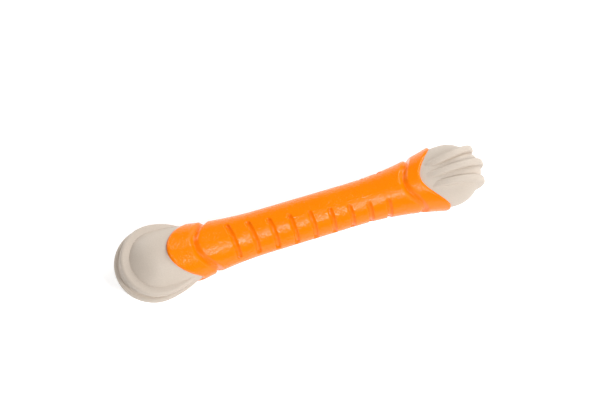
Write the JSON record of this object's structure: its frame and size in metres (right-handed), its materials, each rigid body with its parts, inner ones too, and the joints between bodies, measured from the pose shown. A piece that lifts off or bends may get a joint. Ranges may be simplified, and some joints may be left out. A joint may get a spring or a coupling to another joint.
{
  "type": "chew toy",
  "caption": "Stick-shaped dog chew toy: hard ribbed heads at both ends of a hidden rod, turned a quarter turn from each other, and a flared rubber grip sleeve moulded over the middle.",
  "frame": {"origin": "the middle of the stick, on its long axis", "axes": "+X along the stick towards the right head, +Z out of the left head's upper cheek, +Y out of the right head's cheek"},
  "size_m": [0.25, 0.0468, 0.0468],
  "materials": {
    "core": "moulded nylon, plain",
    "head": "moulded filled nylon, matt, faintly grained",
    "sleeve": "moulded thermoplastic rubber, satin with a fine stipple"
  },
  "bodies": {
    "root": {"core_rod": "core", "left_head": "head", "right_head": "head", "grip_sleeve": "sleeve"}
  },
  "joints": []
}
